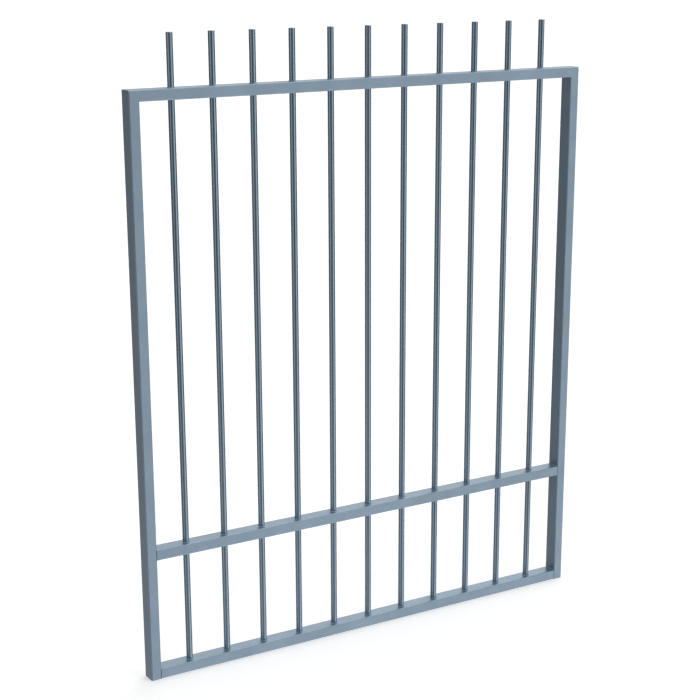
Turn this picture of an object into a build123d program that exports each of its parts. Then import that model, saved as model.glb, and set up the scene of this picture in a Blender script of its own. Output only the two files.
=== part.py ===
"""Garden gate: a welded leaf of box section and round bars, hung on two lift-off hinges.

Millimetres, +Z up. The gate is shut: its leaf lies along X, with its front towards -Y and its hinges at +X.
The origin is midway between the lower hinge's two bolt holes, on the face of its plate that meets the post.
"""
from build123d import *
import os

# The leaf, measured from its own outer edges and its foot.
leaf_width = 972
frame_height = 1090.5
bar_top = 1184
mid_rail_top = 257

# Box section of the stiles and rails.
tube_face = 20
tube_depth = 30
tube_wall = 1.5
tube_corner = 2

# Round bars.
bar_diameter = 12
bar_count = 11
bar_pitch = 80
bar_chamfer = 0.6

# Caps welded into the stiles' open feet, flush with their ends.
cap_thickness = 2

# Hinges: the pin stands up in the post's half, and the leaf's half drops over it.
hinge_heights = {"lower": 150, "upper": 940}
axis_beside_leaf = 7
axis_behind_leaf = 7
pin_diameter = 10
pin_clearance = 0.05
pin_chamfer = 1
pin_seat_depth = 24
pin_reach = 31
knuckle_diameter = 16
knuckle_length = 38
knuckle_crown = 2
bore_depth = 34
washer_thickness = 2
washer_gap = 0.1
hinge_metal = 4
wing_width = 21
wing_corner = 2

# The post's half of a hinge, which two bolts hold.
post_clearance = 3
plate_height = 90
plate_width = 20
plate_corner = 3
neck_thickness = 6
bolt_behind_axis = 18
bolt_spacing = 60
bolt_hole_diameter = 9

# Places in the frame that the gate is drawn in.
knuckle_radius = knuckle_diameter / 2
axis_x = -(knuckle_radius + post_clearance)
axis_y = -bolt_behind_axis
leaf_right = axis_x - axis_beside_leaf
leaf_left = leaf_right - leaf_width
leaf_back = axis_y - axis_behind_leaf
leaf_front = leaf_back - tube_depth
leaf_foot = -hinge_heights["lower"]
frame_top = leaf_foot + frame_height
middle_x = (leaf_left + leaf_right) / 2
middle_y = (leaf_front + leaf_back) / 2

STANDING = (Align.CENTER, Align.CENTER, Align.MIN)
FROM_CORNER = (Align.MIN, Align.MIN, Align.MIN)


def tube_inside():
    """The outline of the box section's hollow, with its face along X and its depth along Y."""
    return RectangleRounded(tube_face - 2 * tube_wall, tube_depth - 2 * tube_wall, tube_corner - tube_wall)


def box_section(length):
    """Box section standing on Z = 0, with its face along X and its depth along Y."""
    return extrude(RectangleRounded(tube_face, tube_depth, tube_corner) - tube_inside(), length)


def standing_section(x_left):
    """Box section as tall as the frame, with its left side at x_left."""
    return Pos(x_left + tube_face / 2, middle_y, leaf_foot) * box_section(frame_height)


def lying_section(x_left, z_top, length):
    """Box section along X, with its upper face at z_top."""
    return Pos(x_left, middle_y, z_top - tube_face / 2) * Rot(0, 90, 0) * box_section(length)


def slab(*corners):
    """A solid as deep as the leaf, with the outline that these X and Z corners give."""
    outline = Polyline(*[(x, leaf_front, z) for x, z in corners], close=True)
    return extrude(make_face(outline), tube_depth, dir=(0, 1, 0))


def stile(x_outer, x_inner):
    """A stile, cut at 45 degrees at its top and open at its foot."""
    mitred = slab(
        (x_outer, leaf_foot),
        (x_outer, frame_top),
        (x_inner, frame_top - tube_face),
        (x_inner, leaf_foot),
    )
    return standing_section(min(x_outer, x_inner)) & mitred


def stile_cap(x_left):
    """The plate that closes a stile's foot, inside its walls."""
    return Pos(x_left + tube_face / 2, middle_y, leaf_foot) * extrude(tube_inside(), cap_thickness)


def bar_centres():
    """Each bar's place along X, the row centred on the leaf."""
    first = middle_x - bar_pitch * (bar_count - 1) / 2
    return [first + bar_pitch * number for number in range(bar_count)]


def upright_rods(z_low, z_high):
    """Plain rods of the bars' size and places between two heights, to drill the rails with."""
    rod = Cylinder(bar_diameter / 2, z_high - z_low, align=STANDING)
    return [Pos(x, middle_y, z_low) * rod for x in bar_centres()]


def top_rail():
    """The top rail, cut at 45 degrees at both ends, with a hole through for each bar."""
    mitred = slab(
        (leaf_left, frame_top),
        (leaf_right, frame_top),
        (leaf_right - tube_face, frame_top - tube_face),
        (leaf_left + tube_face, frame_top - tube_face),
    )
    rail = lying_section(leaf_left, frame_top, leaf_width) & mitred
    return rail - upright_rods(frame_top - tube_face, frame_top)


def square_cut_rail(height_of_top):
    """A rail that butts against both stiles."""
    return lying_section(leaf_left + tube_face, leaf_foot + height_of_top, leaf_width - 2 * tube_face)


def mid_rail():
    """The middle rail, with a hole through for each bar."""
    top = leaf_foot + mid_rail_top
    return square_cut_rail(mid_rail_top) - upright_rods(top - tube_face, top)


def bottom_rail():
    """The bottom rail. The bars pass its upper wall and stand on its lower one."""
    return square_cut_rail(tube_face) - upright_rods(leaf_foot + tube_wall, leaf_foot + tube_face)


def bar(x):
    """One solid bar, from inside the bottom rail to its free end above the top rail."""
    rod = Cylinder(bar_diameter / 2, bar_top - tube_wall, align=STANDING)
    rod = chamfer(rod.edges().sort_by(Axis.Z)[-1], bar_chamfer)
    return Pos(x, middle_y, leaf_foot + tube_wall) * rod


def on_axis(radius, length, z_low):
    """A cylinder on the hinges' axis."""
    return Pos(axis_x, axis_y, z_low) * Cylinder(radius, length, align=STANDING)


def hinge_leaf(z_hinge):
    """The upper half of a hinge: a closed knuckle, and a wing that is welded to the back of the stile."""
    z_low = z_hinge + washer_thickness / 2 + washer_gap
    knuckle = on_axis(knuckle_radius, knuckle_length, z_low)
    knuckle = chamfer(knuckle.edges().sort_by(Axis.Z)[-1], knuckle_crown)
    wing = Box(wing_width, hinge_metal, knuckle_length - knuckle_crown, align=FROM_CORNER)
    free_corners = wing.edges().filter_by(Axis.Y).group_by(Axis.X)[0]
    wing = Pos(axis_x - wing_width, leaf_back, z_low) * fillet(free_corners, wing_corner)
    bore = on_axis(pin_diameter / 2 + pin_clearance, bore_depth, z_low)
    return knuckle + wing - bore


def hinge_plate(z_hinge):
    """The lower half of a hinge: a knuckle, a neck, and a plate with two bolt holes for the post."""
    z_top = z_hinge - washer_thickness / 2
    z_low = z_top - knuckle_length
    knuckle = on_axis(knuckle_radius, knuckle_length, z_low)
    neck_reach = bolt_behind_axis - plate_width / 2 + hinge_metal
    tongue = Box(hinge_metal, neck_reach, knuckle_length, align=FROM_CORNER)
    tongue = Pos(-hinge_metal, axis_y, z_low) * tongue
    neck = Pos(axis_x, axis_y, z_low) * Box(-axis_x, neck_thickness, knuckle_length, align=FROM_CORNER)
    plate = Box(hinge_metal, plate_width, plate_height, align=(Align.MAX, Align.CENTER, Align.CENTER))
    plate = Pos(0, 0, z_hinge) * fillet(plate.edges().filter_by(Axis.X), plate_corner)
    hole = Rot(0, 90, 0) * Cylinder(bolt_hole_diameter / 2, 4 * hinge_metal)
    holes = [Pos(0, 0, z_hinge + side * bolt_spacing / 2) * hole for side in (-1, 1)]
    seat = on_axis(pin_diameter / 2, pin_seat_depth, z_top - pin_seat_depth)
    return knuckle + neck + tongue + plate - holes - seat


def hinge_pin(z_hinge):
    """The pin, pressed into the lower knuckle and loose in the upper one."""
    z_low = z_hinge - washer_thickness / 2 - pin_seat_depth
    length = z_hinge + pin_reach - z_low
    pin = on_axis(pin_diameter / 2, length, z_low)
    return chamfer(pin.edges().sort_by(Axis.Z)[-1], pin_chamfer)


def hinge_washer(z_hinge):
    """The washer that carries the leaf's weight on the lower knuckle."""
    z_low = z_hinge - washer_thickness / 2
    disc = on_axis(knuckle_radius, washer_thickness, z_low)
    return disc - on_axis(pin_diameter / 2, washer_thickness, z_low)


nodes = {
    "latch_stile": stile(leaf_left, leaf_left + tube_face),
    "hinge_stile": stile(leaf_right, leaf_right - tube_face),
    "latch_stile_cap": stile_cap(leaf_left),
    "hinge_stile_cap": stile_cap(leaf_right - tube_face),
    "top_rail": top_rail(),
    "mid_rail": mid_rail(),
    "bottom_rail": bottom_rail(),
}
for number, x in enumerate(bar_centres(), start=1):
    nodes[f"bar_{number:02d}"] = bar(x)
for name, height in hinge_heights.items():
    z_hinge = leaf_foot + height
    nodes[f"{name}_hinge_leaf"] = hinge_leaf(z_hinge)
    nodes[f"{name}_hinge_plate"] = hinge_plate(z_hinge)
    nodes[f"{name}_hinge_pin"] = hinge_pin(z_hinge)
    nodes[f"{name}_hinge_washer"] = hinge_washer(z_hinge)

os.makedirs("parts", exist_ok=True)
for name, shape in nodes.items():
    export_step(shape, f"parts/{name}.step")
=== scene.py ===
"""How the garden gate looks: painted steel with its weld beads, on a pale floor in soft studio light.

Metres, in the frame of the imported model. The gate is shut, its front towards -Y and its hinges at +X.
"""
import math

import bmesh
import bpy
from mathutils import Matrix, Vector


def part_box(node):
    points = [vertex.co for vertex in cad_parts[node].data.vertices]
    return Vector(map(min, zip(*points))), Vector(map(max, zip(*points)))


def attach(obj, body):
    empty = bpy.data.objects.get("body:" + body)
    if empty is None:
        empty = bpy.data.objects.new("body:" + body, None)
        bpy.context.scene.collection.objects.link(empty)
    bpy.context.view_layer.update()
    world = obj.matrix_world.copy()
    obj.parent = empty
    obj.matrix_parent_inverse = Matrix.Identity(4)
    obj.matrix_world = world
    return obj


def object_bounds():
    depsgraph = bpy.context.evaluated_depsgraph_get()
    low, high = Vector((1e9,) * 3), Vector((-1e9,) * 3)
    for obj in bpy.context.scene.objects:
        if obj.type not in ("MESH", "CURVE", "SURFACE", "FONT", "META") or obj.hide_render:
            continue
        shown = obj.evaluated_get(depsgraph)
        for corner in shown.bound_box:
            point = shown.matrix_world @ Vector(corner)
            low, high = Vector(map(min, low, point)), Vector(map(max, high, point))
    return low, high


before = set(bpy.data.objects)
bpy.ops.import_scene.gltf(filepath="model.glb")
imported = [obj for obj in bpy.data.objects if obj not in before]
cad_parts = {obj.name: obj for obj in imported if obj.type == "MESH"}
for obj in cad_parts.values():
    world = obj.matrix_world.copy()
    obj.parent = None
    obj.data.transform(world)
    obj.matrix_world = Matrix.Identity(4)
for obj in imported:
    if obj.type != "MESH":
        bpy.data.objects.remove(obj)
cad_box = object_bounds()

MM = 0.001

BAR_COUNT = 11
BARS = [f"bar_{number:02d}" for number in range(1, BAR_COUNT + 1)]
RAILS = ["top_rail", "mid_rail", "bottom_rail"]
STILES = ["latch_stile", "hinge_stile"]
CAPS = ["latch_stile_cap", "hinge_stile_cap"]
HINGES = ["lower_hinge", "upper_hinge"]

# Sizes of the box section and the hinges that a node's box doesn't give.
CORNER_RADIUS = 2 * MM
WING_CORNER = 2 * MM
KNUCKLE_RADIUS = 8 * MM
KNUCKLE_CROWN = 2 * MM

UP = Vector((0, 0, 1))
DOWN = Vector((0, 0, -1))
LEFT = Vector((-1, 0, 0))
RIGHT = Vector((1, 0, 0))
BACK = Vector((0, 1, 0))

# ---------------------------------------------------------------- weld beads
# A bead's leg is how far it reaches over each of its two faces.
BAR_BEAD = 1.1 * MM
RAIL_BEAD = 1.2 * MM
WING_BEAD = 2.2 * MM

BEAD_SINK = 0.4 * MM
BEAD_BULGE = 0.16
BEAD_END_SHARE = 0.55
BEAD_ARC_STEPS = 4
BEAD_STEP = 0.55 * MM
RING_STEPS = 64
WING_CORNER_STEPS = 8
# Where a hinge wing's two rounded corners start, in degrees in the plane of the stile's back.
LOW_CORNER_START = -90
HIGH_CORNER_START = 180

# The leg swells and shrinks along a bead in short ripples and in a longer sway, as shares of itself.
RIPPLE_LENGTH = 1.6 * MM
RIPPLE_DEPTH = 0.07
SWAY_LENGTH = 7 * RIPPLE_LENGTH
SWAY_DEPTH = 0.05
SWAY_SHIFT = 40


class MeshDraft:
    """Vertices and faces that gather until one object is made of them."""

    def __init__(self):
        self.points = []
        self.faces = []

    def add_loops(self, loops, closed):
        """Joins loops of points into a tube: round to its start, or with a cap at each end."""
        first = len(self.points)
        size = len(loops[0])
        for loop in loops:
            self.points.extend(loop)
        last = len(loops) if closed else len(loops) - 1
        for row in range(last):
            here = first + row * size
            there = first + (row + 1) % len(loops) * size
            for corner in range(size):
                after = (corner + 1) % size
                self.faces.append((here + corner, here + after, there + after, there + corner))
        if not closed:
            self.faces.append(tuple(first + corner for corner in reversed(range(size))))
            self.faces.append(tuple(first + (len(loops) - 1) * size + corner for corner in range(size)))

    def make(self, name, body, material, slot):
        """Makes the object, smooth, outward facing, and riding on its CAD body."""
        mesh = bpy.data.meshes.new(name)
        mesh.from_pydata([tuple(point) for point in self.points], [], self.faces)
        mesh.validate()
        outward = bpy.data.objects.new(name, mesh)
        bpy.context.scene.collection.objects.link(outward)
        mesh.materials.append(material)
        face_outwards(mesh)
        mesh.polygons.foreach_set("use_smooth", [True] * len(mesh.polygons))
        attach(outward, body)


def face_outwards(mesh):
    """Turns every face of a mesh of closed shells outwards."""
    shells = bmesh.new()
    shells.from_mesh(mesh)
    bmesh.ops.recalc_face_normals(shells, faces=shells.faces)
    shells.to_mesh(mesh)
    shells.free()


def bead_profile(leg):
    """A weld's section as (outward, rise) pairs: sunk behind the corner, with a slightly convex face."""
    profile = [(-BEAD_SINK, -BEAD_SINK), (leg, -BEAD_SINK)]
    for step in range(BEAD_ARC_STEPS + 1):
        share = step / BEAD_ARC_STEPS
        bulge = BEAD_BULGE * leg * math.sin(math.pi * share)
        profile.append((leg * (1 - share) + bulge, leg * share + bulge))
    profile.append((-BEAD_SINK, leg))
    return profile


def add_bead(draft, path, rise, leg, closed=False):
    """A weld along the corner between two faces.

    path is a list of (point, outward): each point lies in the corner, and outward runs from it over one of
    the faces. rise runs from it over the other face.
    """
    loops = []
    travelled = 0.0
    for number, (point, outward) in enumerate(path):
        if number:
            travelled += (point - path[number - 1][0]).length
        ripple = math.sin(math.tau * travelled / RIPPLE_LENGTH)
        sway = math.sin(math.tau * travelled / SWAY_LENGTH + SWAY_SHIFT * point.x)
        size = leg * (1 + RIPPLE_DEPTH * ripple + SWAY_DEPTH * sway)
        if not closed and number in (0, len(path) - 1):
            size *= BEAD_END_SHARE
        loops.append([point + outward * out + rise * high for out, high in bead_profile(size)])
    draft.add_loops(loops, closed)


def straight_path(start, end, outward):
    """Stations of a straight weld."""
    steps = max(2, math.ceil((end - start).length / BEAD_STEP))
    return [(start.lerp(end, step / steps), outward) for step in range(steps + 1)]


def ring_path(centre, radius):
    """Stations of a weld round an upright bar."""
    path = []
    for step in range(RING_STEPS):
        angle = math.tau * step / RING_STEPS
        outward = Vector((math.cos(angle), math.sin(angle), 0))
        path.append((centre + outward * radius, outward))
    return path


def middle(node):
    """The middle of a CAD node's box."""
    low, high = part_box(node)
    return (low + high) / 2


def bar_radius(node):
    """Half of a bar's width."""
    low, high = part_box(node)
    return (high.x - low.x) / 2


def bar_beads(rail, rise, leg):
    """The welds round all the bars on a rail's upper or under side."""
    draft = MeshDraft()
    low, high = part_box(rail)
    for bar in BARS:
        centre = middle(bar)
        centre.z = high.z if rise == UP else low.z
        add_bead(draft, ring_path(centre, bar_radius(bar)), rise, leg, closed=True)
    return draft


def rail_end_beads(rail, sides, leg):
    """The welds across a rail's ends, over and under it, where it meets the stiles' inner sides."""
    draft = MeshDraft()
    low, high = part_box(rail)
    ends = [
        (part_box("latch_stile")[1].x, RIGHT),
        (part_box("hinge_stile")[0].x, LEFT),
    ]
    for x, outward in ends:
        for rise in sides:
            z = high.z if rise == UP else low.z
            start = Vector((x, low.y + CORNER_RADIUS, z))
            end = Vector((x, high.y - CORNER_RADIUS, z))
            add_bead(draft, straight_path(start, end, outward), rise, leg)
    return draft


def wing_beads(hinge, leg):
    """The weld round the three free edges of a hinge's wing, on the back of the stile."""
    draft = MeshDraft()
    low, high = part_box(f"{hinge}_leaf")
    stile_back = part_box("hinge_stile")[1].y
    knuckle_side = middle(f"{hinge}_pin").x - KNUCKLE_RADIUS
    wing_top = high.z - KNUCKLE_CROWN
    corner_x = low.x + WING_CORNER
    low_corner_z = low.z + WING_CORNER
    high_corner_z = wing_top - WING_CORNER

    def at(x, z):
        """A point on the stile's back."""
        return Vector((x, stile_back, z))

    def round_corner(centre, start_angle):
        """Stations round a corner of the wing, between its straight welds."""
        stations = []
        for step in range(1, WING_CORNER_STEPS):
            angle = math.radians(start_angle - 90 * step / WING_CORNER_STEPS)
            outward = Vector((math.cos(angle), 0, math.sin(angle)))
            stations.append((centre + outward * WING_CORNER, outward))
        return stations

    path = straight_path(at(knuckle_side, low.z), at(corner_x, low.z), DOWN)
    path.extend(round_corner(at(corner_x, low_corner_z), LOW_CORNER_START))
    path.extend(straight_path(at(low.x, low_corner_z), at(low.x, high_corner_z), LEFT))
    path.extend(round_corner(at(corner_x, high_corner_z), HIGH_CORNER_START))
    path.extend(straight_path(at(corner_x, wing_top), at(knuckle_side, wing_top), UP))
    add_bead(draft, path, BACK, leg)
    return draft


# ------------------------------------------------------------------ materials
# Nearly all of a noise texture's values lie between these two.
NOISE_LOW = 0.3
NOISE_HIGH = 0.7

# How far a bevelled normal agrees with the plain one, on a flat face and on a sharp edge.
AGREES_ON_FLAT = 0.99
AGREES_ON_EDGE = 0.80
BEVEL_SAMPLES = 4

# How far in from an edge the paint is made lighter: partly rubbed-thin paint, partly a painted highlight
# along the edges.
EDGE_WEAR_AND_HIGHLIGHT_RADIUS = 0.8 * MM
PAINT_COAT_ROUGHNESS = 0.25


class NodeTree:
    """A node tree, with short calls for the nodes that materials and light both use."""

    def __init__(self, tree):
        self.tree = tree

    def new(self, kind, **settings):
        """A node of this kind, with these settings."""
        node = self.tree.nodes.new(kind)
        for name, value in settings.items():
            setattr(node, name, value)
        return node

    def link(self, output, target):
        """Feeds an output into a target socket."""
        self.tree.links.new(output, target)

    def math(self, operation, first, second):
        """One calculation with two values, each a socket or a number."""
        node = self.new("ShaderNodeMath", operation=operation)
        for value, target in zip((first, second), node.inputs):
            if isinstance(value, (int, float)):
                target.default_value = value
            else:
                self.link(value, target)
        return node.outputs["Value"]


class Nodes(NodeTree):
    """A material's node tree, with short calls for the patterns that the finishes are made of."""

    def __init__(self, name):
        self.material = bpy.data.materials.new(name)
        self.material.use_nodes = True
        super().__init__(self.material.node_tree)
        self.shader = self.tree.nodes["Principled BSDF"]
        self.place = self.new("ShaderNodeTexCoord").outputs["Object"]

    def noise(self, scale, detail=2.0, roughness=0.5, stretch=(1, 1, 1)):
        """Noise from 0 to 1 with scale features to the metre, squeezed along an axis by its stretch."""
        mapping = self.new("ShaderNodeMapping")
        mapping.inputs["Scale"].default_value = stretch
        self.link(self.place, mapping.inputs["Vector"])
        noise = self.new("ShaderNodeTexNoise")
        noise.inputs["Scale"].default_value = scale
        noise.inputs["Detail"].default_value = detail
        noise.inputs["Roughness"].default_value = roughness
        self.link(mapping.outputs["Vector"], noise.inputs["Vector"])
        return noise.outputs["Fac"]

    def spread(self, value, low_in, high_in, low_out, high_out):
        """The value carried from one range to another, and held within it."""
        carry = self.new("ShaderNodeMapRange")
        carry.inputs["From Min"].default_value = low_in
        carry.inputs["From Max"].default_value = high_in
        carry.inputs["To Min"].default_value = low_out
        carry.inputs["To Max"].default_value = high_out
        self.link(value, carry.inputs["Value"])
        return carry.outputs["Result"]

    def even(self, noise, low_out=0, high_out=1):
        """Noise that runs from the low value to the high one."""
        return self.spread(noise, NOISE_LOW, NOISE_HIGH, low_out, high_out)

    def mix(self, share, first, second):
        """Two colours mixed, each a socket or three numbers."""
        node = self.new("ShaderNodeMix", data_type="RGBA")
        self.link(share, node.inputs["Factor"])
        colours = [target for target in node.inputs if target.type == "RGBA"]
        for value, target in zip((first, second), colours):
            if isinstance(value, tuple):
                target.default_value = (*value, 1)
            else:
                self.link(value, target)
        return next(output for output in node.outputs if output.type == "RGBA")

    def edges(self, radius):
        """1 on edges sharper than the radius, 0 on flat faces."""
        bevel = self.new("ShaderNodeBevel", samples=BEVEL_SAMPLES)
        bevel.inputs["Radius"].default_value = radius
        plain = self.new("ShaderNodeNewGeometry")
        turn = self.new("ShaderNodeVectorMath", operation="DOT_PRODUCT")
        self.link(bevel.outputs["Normal"], turn.inputs[0])
        self.link(plain.outputs["Normal"], turn.inputs[1])
        return self.spread(turn.outputs["Value"], AGREES_ON_FLAT, AGREES_ON_EDGE, 0.0, 1.0)

    def bump(self, height, strength, distance, under=None):
        """A normal that the height tilts, on top of the one under it."""
        node = self.new("ShaderNodeBump")
        node.inputs["Strength"].default_value = strength
        node.inputs["Distance"].default_value = distance
        self.link(height, node.inputs["Height"])
        if under is not None:
            self.link(under, node.inputs["Normal"])
        return node.outputs["Normal"]


def shaded(colour, factor):
    """The colour made lighter or darker."""
    return tuple(value * factor for value in colour)


def paint(name, colour, roughness, metallic, coat, streaks):
    """Satin paint with metal flake: soft patches, fine mottling, lighter edges that are partly paint rubbed
    thin and partly a painted highlight, and an orange-peel skin.
    """
    n = Nodes(name)
    n.shader.inputs["Metallic"].default_value = metallic
    n.shader.inputs["Coat Weight"].default_value = coat
    n.shader.inputs["Coat Roughness"].default_value = PAINT_COAT_ROUGHNESS
    patches = n.noise(5, detail=3, stretch=(1, 1, 0.45))
    mottling = n.noise(140, detail=4, roughness=0.65)
    tone = n.mix(n.even(patches), shaded(colour, 0.95), shaded(colour, 1.05))
    tone = n.mix(n.spread(mottling, 0.35, 0.75, 0, 0.35), tone, shaded(colour, 0.82))
    # Lighter edges in patches: partly paint rubbed thin, partly a painted highlight along the arrises.
    scuff_and_highlight_patches = n.spread(n.noise(60, detail=5), 0.42, 0.68, 0.1, 0.7)
    wear_and_edge_highlight = n.math("MULTIPLY", n.edges(EDGE_WEAR_AND_HIGHLIGHT_RADIUS), scuff_and_highlight_patches)
    tone = n.mix(wear_and_edge_highlight, tone, shaded(colour, 1.45))
    n.link(tone, n.shader.inputs["Base Color"])
    dull = n.even(n.noise(22, detail=4, stretch=streaks), roughness - 0.05, roughness + 0.06)
    n.link(dull, n.shader.inputs["Roughness"])
    peel = n.bump(n.noise(900, detail=2), 0.22, 0.05 * MM)
    sags = n.bump(n.noise(160, detail=1, stretch=streaks), 0.25, 0.12 * MM, peel)
    n.link(sags, n.shader.inputs["Normal"])
    return n.material


def turned_steel(name, colour):
    """Ground and turned steel: fine rings round the axis, with a trace of grease."""
    n = Nodes(name)
    n.shader.inputs["Metallic"].default_value = 1
    rings = n.noise(9, detail=6, roughness=0.7, stretch=(6, 6, 500))
    grease = n.noise(120, detail=3)
    tone = n.mix(n.even(rings), shaded(colour, 0.85), shaded(colour, 1.1))
    tone = n.mix(n.spread(grease, 0.5, 0.75, 0, 0.6), tone, shaded(colour, 0.45))
    n.link(tone, n.shader.inputs["Base Color"])
    n.link(n.even(rings, 0.24, 0.42), n.shader.inputs["Roughness"])
    n.link(n.bump(rings, 0.3, 0.03 * MM), n.shader.inputs["Normal"])
    return n.material


def brass(name, colour):
    """Brass with a brown bloom."""
    n = Nodes(name)
    n.shader.inputs["Metallic"].default_value = 1
    bloom = n.noise(260, detail=5, roughness=0.6)
    rings = n.noise(30, detail=4, stretch=(4, 4, 60))
    tone = n.mix(n.spread(bloom, 0.4, 0.7, 0, 0.8), colour, BROWN_BLOOM)
    n.link(tone, n.shader.inputs["Base Color"])
    n.link(n.even(bloom, 0.26, 0.5), n.shader.inputs["Roughness"])
    n.link(n.bump(rings, 0.25, 0.04 * MM), n.shader.inputs["Normal"])
    return n.material


def zinc(name, colour):
    """Zinc plate: pale, cloudy, and duller in patches."""
    n = Nodes(name)
    n.shader.inputs["Metallic"].default_value = 1
    clouds = n.noise(90, detail=5, roughness=0.6)
    specks = n.noise(700, detail=2)
    tone = n.mix(n.even(clouds), shaded(colour, 0.8), shaded(colour, 1.1))
    tone = n.mix(n.spread(specks, 0.62, 0.8, 0, 0.5), tone, shaded(colour, 0.55))
    n.link(tone, n.shader.inputs["Base Color"])
    n.link(n.even(clouds, 0.36, 0.55), n.shader.inputs["Roughness"])
    n.link(n.bump(specks, 0.2, 0.04 * MM), n.shader.inputs["Normal"])
    return n.material


def floor_finish(name):
    """A pale matt floor with the faintest unevenness."""
    n = Nodes(name)
    n.link(
        n.mix(n.noise(1.5, detail=3), shaded(WHITE, 0.90), shaded(WHITE, 0.93)),
        n.shader.inputs["Base Color"],
    )
    n.shader.inputs["Roughness"].default_value = 0.8
    n.shader.inputs["Specular IOR Level"].default_value = 0.1
    n.shader.inputs["Emission Color"].default_value = (*WHITE, 1)
    n.shader.inputs["Emission Strength"].default_value = FLOOR_GLOW
    return n.material


# -------------------------------------------------------------------- finishes
WHITE = (1.0, 1.0, 1.0)
GREY_BLUE = (0.268, 0.366, 0.462)
# The bars' paint is the frame's grey-blue made a tenth lighter: painted light that brightens their shading.
BAR_GREY_BLUE_WITH_PAINTED_LIGHT = shaded(GREY_BLUE, 1.10)
ZINC = (0.62, 0.64, 0.66)
STEEL = (0.62, 0.62, 0.61)
BRASS = (0.72, 0.50, 0.22)
BROWN_BLOOM = (0.25, 0.14, 0.05)

frame_paint = paint("frame_paint", GREY_BLUE, roughness=0.42, metallic=0.88, coat=0.7, streaks=(1, 1, 1))
# The bars take the lighter copy of the grey-blue, which is painted light.
bar_paint = paint("bar_paint", BAR_GREY_BLUE_WITH_PAINTED_LIGHT, roughness=0.22, metallic=0.92, coat=0.40, streaks=(1, 1, 0.08))
hinge_zinc = zinc("hinge_zinc", ZINC)
pin_steel = turned_steel("pin_steel", STEEL)
washer_brass = brass("washer_brass", BRASS)

finish_of = {name: frame_paint for name in RAILS + STILES + CAPS}
finish_of.update({name: bar_paint for name in BARS})
for hinge in HINGES:
    finish_of[f"{hinge}_leaf"] = frame_paint
    finish_of[f"{hinge}_plate"] = hinge_zinc
    finish_of[f"{hinge}_pin"] = pin_steel
    finish_of[f"{hinge}_washer"] = washer_brass
for name, material in finish_of.items():
    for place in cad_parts[name].material_slots:
        place.material = material

# ----------------------------------------------------------------- extra pieces
def add_welds(draft, name):
    """Makes the weld beads of a draft into one painted piece of the leaf."""
    draft.make(name, "leaf", frame_paint, "frame_paint")


for rail in RAILS:
    add_welds(bar_beads(rail, UP, BAR_BEAD), f"{rail}_upper_bar_welds")
for rail in ("top_rail", "mid_rail"):
    add_welds(bar_beads(rail, DOWN, BAR_BEAD), f"{rail}_under_bar_welds")
add_welds(rail_end_beads("mid_rail", [UP, DOWN], RAIL_BEAD), "mid_rail_end_welds")
add_welds(rail_end_beads("bottom_rail", [UP], RAIL_BEAD), "bottom_rail_end_welds")
for hinge in HINGES:
    add_welds(wing_beads(hinge, WING_BEAD), f"{hinge}_wing_weld")

# ---------------------------------------------------------------------- studio
# The camera's place, in leaf widths from the leaf's front bottom corner on the latch side.
VIEW_POSITION = Vector((-1.1687, -2.6550, 1.3832))
VIEW_AZIMUTH = math.radians(31.98)
VIEW_PITCH = math.radians(16.28)
# The lens and the sensor's width, in millimetres.
LENS = 83.87
SENSOR = 36.0
SHIFT_X = -0.0248
SHIFT_Y = 0.0857
CLIP_START = 0.05
CLIP_END = 200

FLOOR_HALF = 30.0
FLOOR_GLOW = 0.34
FLOOR_CORNERS = [(-1, -1), (1, -1), (1, 1), (-1, 1)]

# Tall soft panels round the room: azimuth, tightness and strength. Azimuth 0 is in front of the gate, and 90
# is beyond its hinges.
PANELS = [
    (38, 22, 1.01),
    (15, 36, 0.38),
    (-75, 16, 0.64),
    (-150, 4, 0.13),
    (90, 5, 0.03),
]
# The light that comes evenly from every side.
ROOM_GLOW = 0.061
# A panel behind the gate, towards its hinges. It is dark below the horizon and brightens with height.
BACK_PANEL = (122, 2, 1.50)
BACK_PANEL_RISE = 0.5
# Glows straight above and straight below: tightness and strength.
OVERHEAD = (1.5, 0.50)
FROM_BELOW = (2.0, 0.95)
# What the camera itself sees beyond the floor.
SEEN_BACKGROUND = 1.0


def studio_camera():
    """The camera, at the place and angle given above."""
    leaf_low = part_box("latch_stile")[0]
    leaf_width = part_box("hinge_stile")[1].x - leaf_low.x
    ahead = Vector(
        (
            math.sin(VIEW_AZIMUTH) * math.cos(VIEW_PITCH),
            math.cos(VIEW_AZIMUTH) * math.cos(VIEW_PITCH),
            -math.sin(VIEW_PITCH),
        )
    )
    right = Vector((math.cos(VIEW_AZIMUTH), -math.sin(VIEW_AZIMUTH), 0))
    lens = bpy.data.cameras.new("camera")
    lens.sensor_width = SENSOR
    lens.lens = LENS
    lens.shift_x = SHIFT_X
    lens.shift_y = SHIFT_Y
    lens.clip_start = CLIP_START
    lens.clip_end = CLIP_END
    camera = bpy.data.objects.new("camera", lens)
    bpy.context.scene.collection.objects.link(camera)
    axes = Matrix((right, right.cross(ahead), -ahead)).transposed().to_4x4()
    axes.translation = leaf_low + leaf_width * VIEW_POSITION
    camera.matrix_world = axes
    bpy.context.scene.camera = camera


def studio_floor():
    """A wide pale floor at the gate's foot. It keeps out of reflections, which the room's light gives."""
    z = cad_box[0].z
    centre = (cad_box[0] + cad_box[1]) / 2
    corners = [(centre.x + FLOOR_HALF * x, centre.y + FLOOR_HALF * y, z) for x, y in FLOOR_CORNERS]
    mesh = bpy.data.meshes.new("floor")
    mesh.from_pydata(corners, [], [(0, 1, 2, 3)])
    mesh.materials.append(floor_finish("floor"))
    floor = bpy.data.objects.new("floor", mesh)
    bpy.context.scene.collection.objects.link(floor)
    floor.visible_glossy = False
    floor.visible_diffuse = False
    floor.visible_shadow = False


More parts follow.
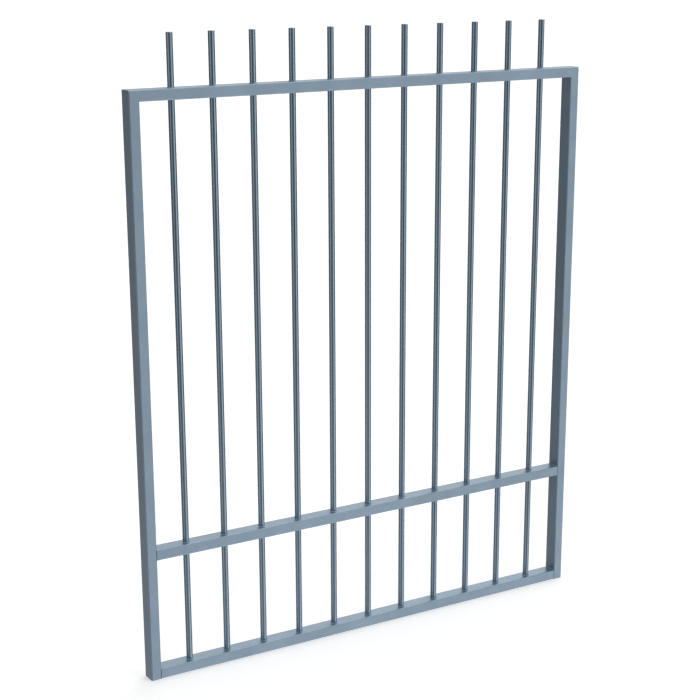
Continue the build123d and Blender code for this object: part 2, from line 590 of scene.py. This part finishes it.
class RoomLight(NodeTree):
    """The strength of the room's light, by the direction that it comes from."""

    def __init__(self, world):
        super().__init__(world.node_tree)
        direction = self.new("ShaderNodeTexCoord").outputs["Generated"]
        flat = self.new("ShaderNodeVectorMath", operation="MULTIPLY")
        self.link(direction, flat.inputs[0])
        flat.inputs[1].default_value = (1, 1, 0)
        level = self.new("ShaderNodeVectorMath", operation="NORMALIZE")
        self.link(flat.outputs["Vector"], level.inputs[0])
        self.level = level.outputs["Vector"]
        self.height = self.along(direction, UP)

    def along(self, vector, axis):
        """How far a vector reaches along an axis."""
        reach = self.new("ShaderNodeVectorMath", operation="DOT_PRODUCT")
        self.link(vector, reach.inputs[0])
        reach.inputs[1].default_value = axis
        return reach.outputs["Value"]

    def glow(self, facing, tightness, strength):
        """Light that is full where facing is 1, and gone where it is 0 or less."""
        shape = self.math("POWER", self.math("MAXIMUM", facing, 0.0), tightness)
        return self.math("MULTIPLY", shape, strength)

    def panel(self, azimuth, tightness, strength):
        """A tall soft panel."""
        angle = math.radians(azimuth)
        facing = self.along(self.level, (math.sin(angle), -math.cos(angle), 0))
        return self.glow(facing, tightness, strength)

    def total(self):
        """All the room's light added up."""
        rise = self.glow(self.height, BACK_PANEL_RISE, 1.0)
        back = self.math("MULTIPLY", rise, self.panel(*BACK_PANEL))
        downwards = self.math("MULTIPLY", self.height, -1.0)
        parts = [self.panel(*panel) for panel in PANELS]
        parts += [self.glow(downwards, *FROM_BELOW), back, self.glow(self.height, *OVERHEAD)]
        light = ROOM_GLOW
        for part in parts:
            light = self.math("ADD", light, part)
        return light


def studio_light():
    """A dim room with soft panels round it and a glow overhead. The camera itself sees it plain white."""
    world = bpy.data.worlds.new("studio")
    bpy.context.scene.world = world
    world.use_nodes = True
    room = RoomLight(world)
    choice = room.new("ShaderNodeMix", data_type="FLOAT")
    room.link(room.new("ShaderNodeLightPath").outputs["Is Camera Ray"], choice.inputs["Factor"])
    room.link(room.total(), choice.inputs["A"])
    choice.inputs["B"].default_value = SEEN_BACKGROUND
    background = room.tree.nodes["Background"]
    room.link(choice.outputs["Result"], background.inputs["Strength"])
    background.inputs["Color"].default_value = (*WHITE, 1)


studio_camera()
studio_floor()
studio_light()
bpy.context.scene.view_settings.view_transform = "Standard"
